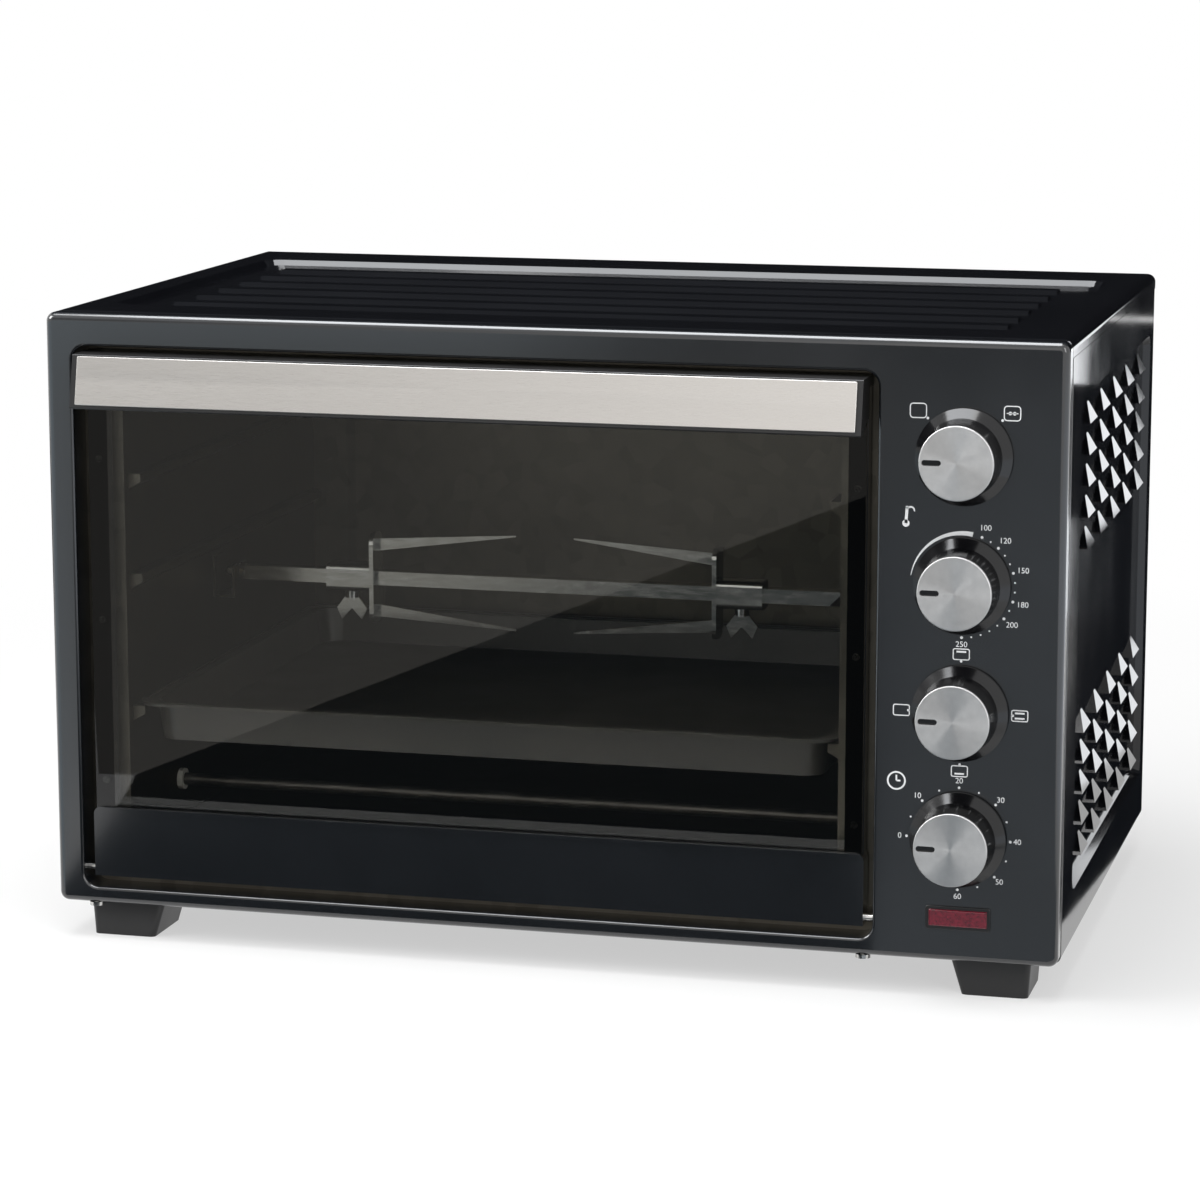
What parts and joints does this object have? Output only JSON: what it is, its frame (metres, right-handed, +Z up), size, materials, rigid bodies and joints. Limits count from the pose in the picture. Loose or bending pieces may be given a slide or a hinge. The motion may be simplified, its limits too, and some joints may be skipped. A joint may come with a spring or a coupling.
{
  "type": "rotisserie oven",
  "caption": "Countertop rotisserie oven with a glass drop-down door, a column of control knobs, louvered sides, heaters, a turning spit with sliding forks and a baking tray.",
  "frame": {"origin": "on the surface that the feet stand on, under the middle of the bounding box", "axes": "+Z up, front with the door faces -Y, +X to the right as the user sees it"},
  "size_m": [0.55, 0.384, 0.344],
  "materials": {
    "black_enamel": "gloss black baked enamel on pressed steel",
    "black_plastic": "satin black moulded plastic",
    "brushed_steel": "brushed stainless sheet",
    "cavity_steel": "galvanised sheet, dulled",
    "tray_enamel": "dark grey enamel",
    "bright_steel": "bright plated steel",
    "zinc_steel": "zinc-plated steel",
    "heater_sheath": "heat-darkened steel sheath",
    "white_ceramic": "white steatite ceramic",
    "switch_plastic": "buff thermoset plastic",
    "clear_glass": "clear tempered glass",
    "red_lens": "translucent red plastic",
    "black_rubber": "black rubber"
  },
  "bodies": {
    "casing": {"front_fascia": "black_enamel", "top_cover": "black_enamel", "left_side_panel": "black_enamel", "right_side_panel": "black_enamel", "rear_cover": "black_enamel", "base_plate": "black_enamel", "indicator_bezel": "black_plastic", "front_left_foot": "black_plastic", "front_right_foot": "black_plastic", "rear_left_foot": "black_plastic", "rear_right_foot": "black_plastic", "cavity_left_wall": "cavity_steel", "cavity_right_wall": "cavity_steel", "cavity_rear_wall": "cavity_steel", "cavity_ceiling": "cavity_steel", "cavity_floor": "cavity_steel", "spit_support": "cavity_steel", "case_screws": "bright_steel", "left_hinge_bracket": "zinc_steel", "right_hinge_bracket": "zinc_steel", "motor_bracket": "zinc_steel", "rotisserie_motor": "zinc_steel", "upper_heaters": "heater_sheath", "lower_heaters": "heater_sheath", "heater_insulators": "white_ceramic", "thermostat": "white_ceramic", "function_switch": "switch_plastic", "heat_selector": "switch_plastic", "timer": "switch_plastic", "indicator_lens": "red_lens", "cord_grommet": "black_rubber"},
    "door": {"door_frame": "black_enamel", "door_glass": "clear_glass", "door_lower_rail": "black_enamel", "handle_bar": "black_plastic", "handle_trim": "brushed_steel", "handle_screws": "bright_steel", "door_rivets": "bright_steel", "left_door_arm": "zinc_steel", "right_door_arm": "zinc_steel", "hinge_pins": "bright_steel"},
    "spit": {"spit_rod": "bright_steel", "drive_socket": "bright_steel"},
    "left_fork": {"left_fork": "bright_steel"},
    "right_fork": {"right_fork": "bright_steel"},
    "left_fork_screw": {"left_fork_screw": "bright_steel"},
    "right_fork_screw": {"right_fork_screw": "bright_steel"},
    "tray": {"baking_tray": "tray_enamel"},
    "function_control": {"function_knob": "black_plastic", "function_knob_cap": "brushed_steel", "function_shaft": "zinc_steel"},
    "temperature_control": {"temperature_knob": "black_plastic", "temperature_knob_cap": "brushed_steel", "temperature_shaft": "zinc_steel"},
    "heat_selector_control": {"heat_selector_knob": "black_plastic", "heat_selector_knob_cap": "brushed_steel", "heat_selector_shaft": "zinc_steel"},
    "timer_control": {"timer_knob": "black_plastic", "timer_knob_cap": "brushed_steel", "timer_shaft": "zinc_steel"}
  },
  "joints": [
    {"name": "door_hinge", "type": "hinge", "parent": "casing", "child": "door", "pos_m": [-0.041, -0.157, 0.0384], "axis": [1, 0, 0], "range_deg": [0, 90], "stiffness_Nm_per_rad": 1.2, "springref_deg": -14.32},
    {"name": "spit_turn", "type": "hinge", "parent": "casing", "child": "spit", "pos_m": [0, -0.001, 0.178], "axis": [1, 0, 0], "continuous": true},
    {"name": "left_fork_slide", "type": "slide", "parent": "spit", "child": "left_fork", "axis": [1, 0, 0], "range_m": [-0.045, 0.018]},
    {"name": "right_fork_slide", "type": "slide", "parent": "spit", "child": "right_fork", "axis": [1, 0, 0], "range_m": [-0.012, 0.055]},
    {"name": "left_fork_screw_turn", "type": "hinge", "parent": "left_fork", "child": "left_fork_screw", "pos_m": [-0.1575, -0.001, 0.178], "axis": [0, 0, 1], "range_deg": [0, 360]},
    {"name": "right_fork_screw_turn", "type": "hinge", "parent": "right_fork", "child": "right_fork_screw", "pos_m": [0.0715, -0.001, 0.178], "axis": [0, 0, 1], "range_deg": [0, 360]},
    {"name": "tray_slide", "type": "slide", "parent": "casing", "child": "tray", "axis": [0, -1, 0], "range_m": [-0.005, 0.004]},
    {"name": "function_turn", "type": "hinge", "parent": "casing", "child": "function_control", "pos_m": [0.2225, -0.176, 0.2846], "axis": [0, 1, 0], "range_deg": [0, 135]},
    {"name": "temperature_turn", "type": "hinge", "parent": "casing", "child": "temperature_control", "pos_m": [0.2225, -0.176, 0.2183], "axis": [0, 1, 0], "range_deg": [0, 270]},
    {"name": "heat_selector_turn", "type": "hinge", "parent": "casing", "child": "heat_selector_control", "pos_m": [0.2225, -0.176, 0.152], "axis": [0, 1, 0], "range_deg": [0, 270]},
    {"name": "timer_turn", "type": "hinge", "parent": "casing", "child": "timer_control", "pos_m": [0.2225, -0.176, 0.0857], "axis": [0, 1, 0], "range_deg": [0, 270]}
  ]
}
